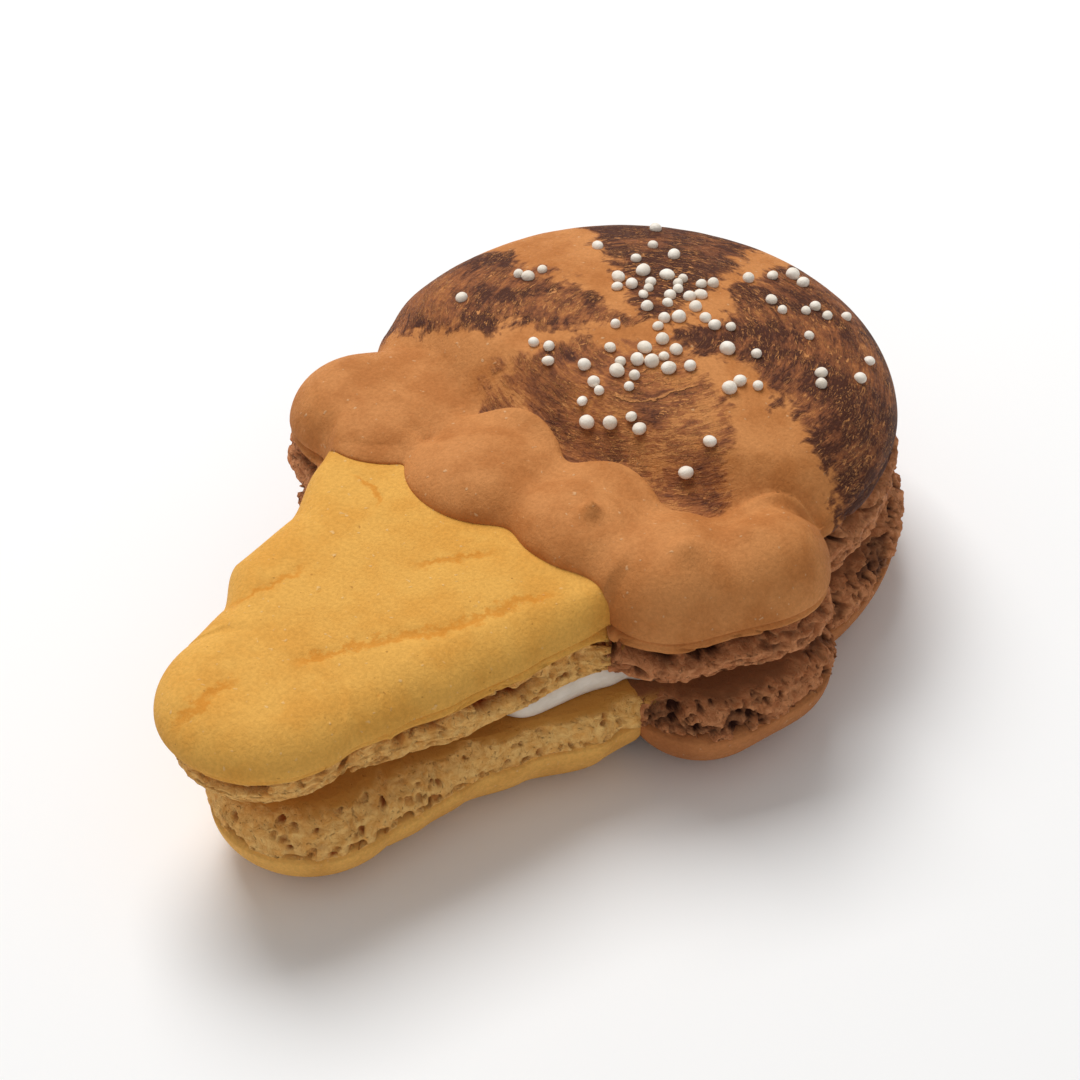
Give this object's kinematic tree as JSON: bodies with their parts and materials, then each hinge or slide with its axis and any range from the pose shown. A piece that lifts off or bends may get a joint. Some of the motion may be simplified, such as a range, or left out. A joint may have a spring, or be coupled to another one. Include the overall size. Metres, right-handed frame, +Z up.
{
  "type": "french macaron",
  "caption": "French macaron shaped like an ice cream cone: a brown brushed scoop with white nonpareils on a yellow cone, in upper and lower shells with a white filling between.",
  "frame": {"origin": "middle of the footprint, on the surface the macaron lies on", "axes": "+Z up through the shells, +Y from the tip of the cone towards the top of the scoop, +X to the right seen from above"},
  "size_m": [0.0562, 0.0856, 0.0268],
  "materials": {
    "scoop_shell": "matt brown almond shell brushed with dark chocolate strokes, with small white nonpareils",
    "cone_shell": "matt golden yellow almond shell with faint orange grooves",
    "filling": "smooth satin white cream",
    "lower_scoop_shell": "matt brown almond shell with a porous ragged foot",
    "lower_cone_shell": "matt yellow almond shell with a porous ragged foot"
  },
  "bodies": {
    "root": {"upper_scoop": "scoop_shell", "upper_cone": "cone_shell", "filling": "filling", "lower_scoop": "lower_scoop_shell", "lower_cone": "lower_cone_shell"}
  },
  "joints": []
}
